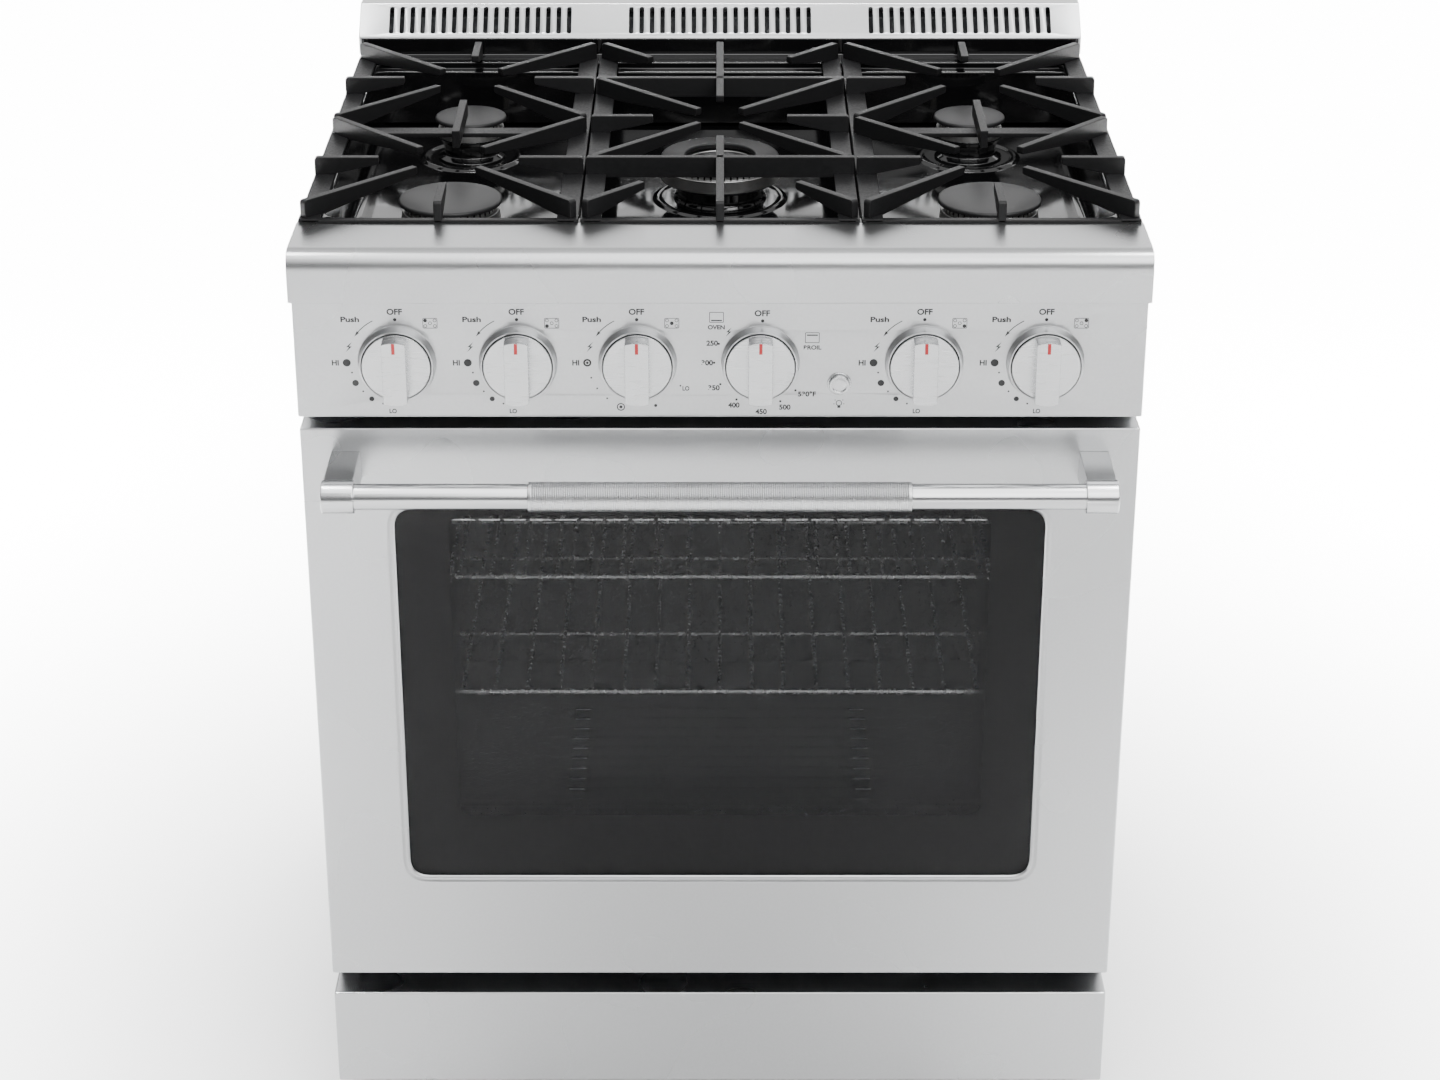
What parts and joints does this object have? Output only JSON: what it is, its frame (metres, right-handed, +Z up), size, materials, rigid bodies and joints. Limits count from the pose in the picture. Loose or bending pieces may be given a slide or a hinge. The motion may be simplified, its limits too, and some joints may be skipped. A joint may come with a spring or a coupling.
{
  "type": "freestanding gas range",
  "caption": "Freestanding gas range with cast iron grates over sealed burners, front knobs and a drop-down oven door with a window and a bar handle.",
  "frame": {"origin": "on the floor under the centre of the whole range, handle included", "axes": "+Z up, +X to the right of a person facing the range, front towards -Y"},
  "size_m": [0.759, 0.74, 0.9618],
  "materials": {
    "stainless": "fine vertical brushed stainless steel, satin",
    "side_paint": "dark satin paint",
    "galvanised": "dull zinc coated sheet",
    "foot_plastic": "matt black",
    "cooktop_enamel": "glossy black porcelain enamel",
    "oven_enamel": "dark blue grey porcelain enamel, satin",
    "burner_aluminium": "cast and turned, satin",
    "cap_enamel": "matt black enamel",
    "cast_iron": "matt black enamelled casting",
    "rack_chrome": "bright plated wire",
    "plain_steel": "plain steel, satin",
    "knob_metal": "satin metal",
    "dark_glass": "tempered glass with a black border",
    "clear_glass": "clear heat resistant glass",
    "gasket": "woven glass fibre"
  },
  "bodies": {
    "body": {"side_panel_left": "side_paint", "side_panel_right": "side_paint", "rear_panel": "galvanised", "base_pan": "galvanised", "leg_front_left": "foot_plastic", "leg_front_right": "foot_plastic", "leg_rear_left": "foot_plastic", "leg_rear_right": "foot_plastic", "kick_plate": "stainless", "front_rail": "stainless", "control_panel": "stainless", "cooktop_pan": "cooktop_enamel", "backguard": "stainless", "burner_head_left_rear": "burner_aluminium", "burner_head_left_front": "burner_aluminium", "burner_head_right_front": "burner_aluminium", "burner_head_right_rear": "burner_aluminium", "burner_head_centre": "burner_aluminium", "oven_liner": "oven_enamel", "oven_floor": "oven_enamel", "bake_burner": "plain_steel", "broil_burner": "plain_steel", "oven_lamp": "clear_glass", "door_gasket": "gasket", "gas_manifold": "burner_aluminium", "hinge_bracket_left": "plain_steel", "hinge_bracket_right": "plain_steel"},
    "door": {"door_skin": "stainless", "door_glass_outer": "dark_glass", "door_glass_inner": "clear_glass", "door_inner_panel": "oven_enamel", "handle_bar": "stainless", "handle_post_left": "stainless", "handle_post_right": "stainless", "hinge_arm_left": "plain_steel", "hinge_arm_right": "plain_steel"},
    "rack_lower": {"oven_rack_lower": "rack_chrome"},
    "rack_upper": {"oven_rack_upper": "rack_chrome"},
    "light_button": {"light_button": "knob_metal"},
    "stem_left_rear": {"stem_left_rear": "plain_steel"},
    "knob_left_rear": {"knob_left_rear": "knob_metal"},
    "stem_left_front": {"stem_left_front": "plain_steel"},
    "knob_left_front": {"knob_left_front": "knob_metal"},
    "stem_centre": {"stem_centre": "plain_steel"},
    "knob_centre": {"knob_centre": "knob_metal"},
    "stem_right_front": {"stem_right_front": "plain_steel"},
    "knob_right_front": {"knob_right_front": "knob_metal"},
    "stem_right_rear": {"stem_right_rear": "plain_steel"},
    "knob_right_rear": {"knob_right_rear": "knob_metal"},
    "stem_oven": {"stem_oven": "plain_steel"},
    "knob_oven": {"knob_oven": "knob_metal"},
    "grate_left": {"grate_left": "cast_iron"},
    "grate_centre": {"grate_centre": "cast_iron"},
    "grate_right": {"grate_right": "cast_iron"},
    "cap_left_rear": {"burner_cap_left_rear": "cap_enamel"},
    "cap_left_front": {"burner_cap_left_front": "cap_enamel"},
    "cap_right_front": {"burner_cap_right_front": "cap_enamel"},
    "cap_right_rear": {"burner_cap_right_rear": "cap_enamel"},
    "cap_centre_ring": {"burner_cap_centre_ring": "cap_enamel"},
    "cap_centre_inner": {"burner_cap_centre_inner": "cap_enamel"}
  },
  "joints": [
    {"name": "door_hinge", "type": "hinge", "parent": "body", "child": "door", "pos_m": [0, -0.25, 0.178], "axis": [1, 0, 0], "range_deg": [0, 90], "stiffness_Nm_per_rad": 16, "springref_deg": -20.05},
    {"name": "rack_lower_slide", "type": "slide", "parent": "body", "child": "rack_lower", "axis": [0, -1, 0], "range_m": [0, 0.24]},
    {"name": "rack_upper_slide", "type": "slide", "parent": "body", "child": "rack_upper", "axis": [0, -1, 0], "range_m": [0, 0.2]},
    {"name": "light_button_press", "type": "slide", "parent": "body", "child": "light_button", "axis": [0, 1, 0], "range_m": [0, 0.0025], "stiffness_N_per_m": 300, "springref_m": -0.002},
    {"name": "knob_left_rear_push", "type": "slide", "parent": "body", "child": "stem_left_rear", "axis": [0, 1, 0], "range_m": [0, 0.0035], "stiffness_N_per_m": 500, "springref_m": -0.003},
    {"name": "knob_left_rear_turn", "type": "hinge", "parent": "stem_left_rear", "child": "knob_left_rear", "pos_m": [-0.288, -0.289, 0.803], "axis": [0, -1, 0], "range_deg": [0, 180]},
    {"name": "knob_left_front_push", "type": "slide", "parent": "body", "child": "stem_left_front", "axis": [0, 1, 0], "range_m": [0, 0.0035], "stiffness_N_per_m": 500, "springref_m": -0.003},
    {"name": "knob_left_front_turn", "type": "hinge", "parent": "stem_left_front", "child": "knob_left_front", "pos_m": [-0.18, -0.289, 0.803], "axis": [0, -1, 0], "range_deg": [0, 180]},
    {"name": "knob_centre_push", "type": "slide", "parent": "body", "child": "stem_centre", "axis": [0, 1, 0], "range_m": [0, 0.0035], "stiffness_N_per_m": 500, "springref_m": -0.003},
    {"name": "knob_centre_turn", "type": "hinge", "parent": "stem_centre", "child": "knob_centre", "pos_m": [-0.0735, -0.289, 0.803], "axis": [0, -1, 0], "range_deg": [0, 255]},
    {"name": "knob_right_front_push", "type": "slide", "parent": "body", "child": "stem_right_front", "axis": [0, 1, 0], "range_m": [0, 0.0035], "stiffness_N_per_m": 500, "springref_m": -0.003},
    {"name": "knob_right_front_turn", "type": "hinge", "parent": "stem_right_front", "child": "knob_right_front", "pos_m": [0.182, -0.289, 0.803], "axis": [0, -1, 0], "range_deg": [0, 180]},
    {"name": "knob_right_rear_push", "type": "slide", "parent": "body", "child": "stem_right_rear", "axis": [0, 1, 0], "range_m": [0, 0.0035], "stiffness_N_per_m": 500, "springref_m": -0.003},
    {"name": "knob_right_rear_turn", "type": "hinge", "parent": "stem_right_rear", "child": "knob_right_rear", "pos_m": [0.29, -0.289, 0.803], "axis": [0, -1, 0], "range_deg": [0, 180]},
    {"name": "knob_oven_push", "type": "slide", "parent": "body", "child": "stem_oven", "axis": [0, 1, 0], "range_m": [0, 0.0035], "stiffness_N_per_m": 500, "springref_m": -0.003},
    {"name": "knob_oven_turn", "type": "hinge", "parent": "stem_oven", "child": "knob_oven", "pos_m": [0.036, -0.289, 0.803], "axis": [0, -1, 0], "range_deg": [-60, 235]},
    {"name": "grate_left_lift", "type": "slide", "parent": "body", "child": "grate_left", "axis": [0, 0, 1], "range_m": [0, 0.12]},
    {"name": "grate_centre_lift", "type": "slide", "parent": "body", "child": "grate_centre", "axis": [0, 0, 1], "range_m": [0, 0.12]},
    {"name": "grate_right_lift", "type": "slide", "parent": "body", "child": "grate_right", "axis": [0, 0, 1], "range_m": [0, 0.12]},
    {"name": "cap_left_rear_lift", "type": "slide", "parent": "body", "child": "cap_left_rear", "axis": [0, 0, 1], "range_m": [0, 0.02]},
    {"name": "cap_left_front_lift", "type": "slide", "parent": "body", "child": "cap_left_front", "axis": [0, 0, 1], "range_m": [0, 0.02]},
    {"name": "cap_right_front_lift", "type": "slide", "parent": "body", "child": "cap_right_front", "axis": [0, 0, 1], "range_m": [0, 0.02]},
    {"name": "cap_right_rear_lift", "type": "slide", "parent": "body", "child": "cap_right_rear", "axis": [0, 0, 1], "range_m": [0, 0.02]},
    {"name": "cap_centre_ring_lift", "type": "slide", "parent": "body", "child": "cap_centre_ring", "axis": [0, 0, 1], "range_m": [0, 0.02]},
    {"name": "cap_centre_inner_lift", "type": "slide", "parent": "body", "child": "cap_centre_inner", "axis": [0, 0, 1], "range_m": [0, 0.02]}
  ],
  "couplings": [
    {"joint": "rack_lower_slide", "follows": "door_hinge", "m_per_rad": 0.15},
    {"joint": "rack_upper_slide", "follows": "door_hinge", "m_per_rad": 0.125}
  ]
}
